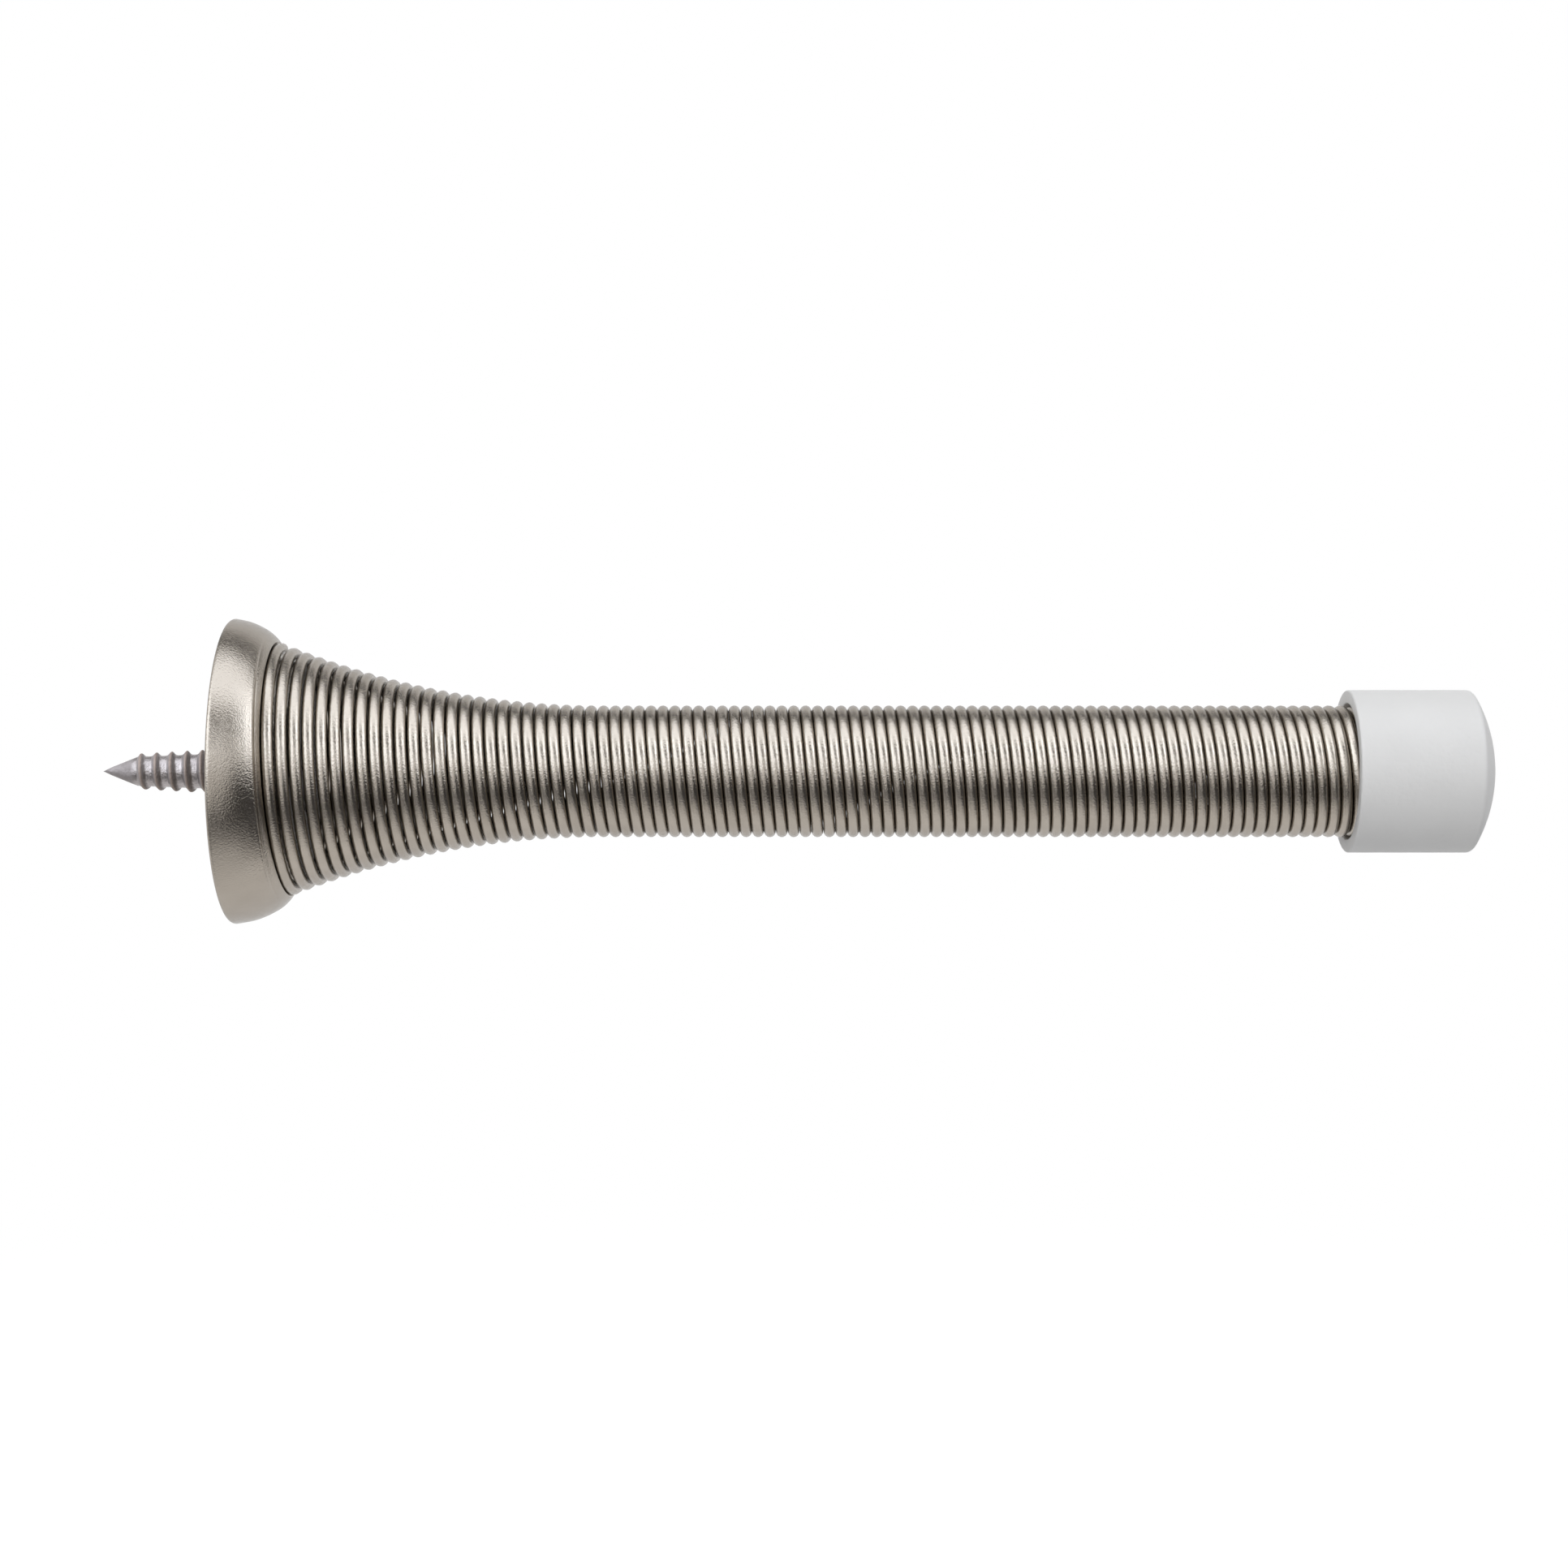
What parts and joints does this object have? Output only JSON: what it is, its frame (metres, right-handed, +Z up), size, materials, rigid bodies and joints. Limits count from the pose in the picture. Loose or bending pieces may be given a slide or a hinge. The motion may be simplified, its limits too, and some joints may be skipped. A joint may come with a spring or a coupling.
{
  "type": "spring door stop",
  "caption": "Wall-fixed door stop: a close-wound wire spring, flared onto a round screw-on base, with a soft domed tip that meets the door.",
  "frame": {"origin": "centre of the base's rim, on the wall and on the screw's axis", "axes": "+X out of the wall along the stop to its tip, +Z up, +Y to the back as the picture sees it"},
  "size_m": [0.0876, 0.0192, 0.0192],
  "materials": {
    "base_nickel": "satin nickel plate on a cast cup, with a fine orange-peel surface",
    "wire_nickel": "satin nickel plate on drawn spring wire",
    "screw_zinc": "bright zinc plate on a steel screw",
    "tip_rubber": "matte white soft rubber"
  },
  "bodies": {
    "root": {"base": "base_nickel", "spring": "wire_nickel", "mounting_screw": "screw_zinc", "bumper_tip": "tip_rubber"}
  },
  "joints": []
}
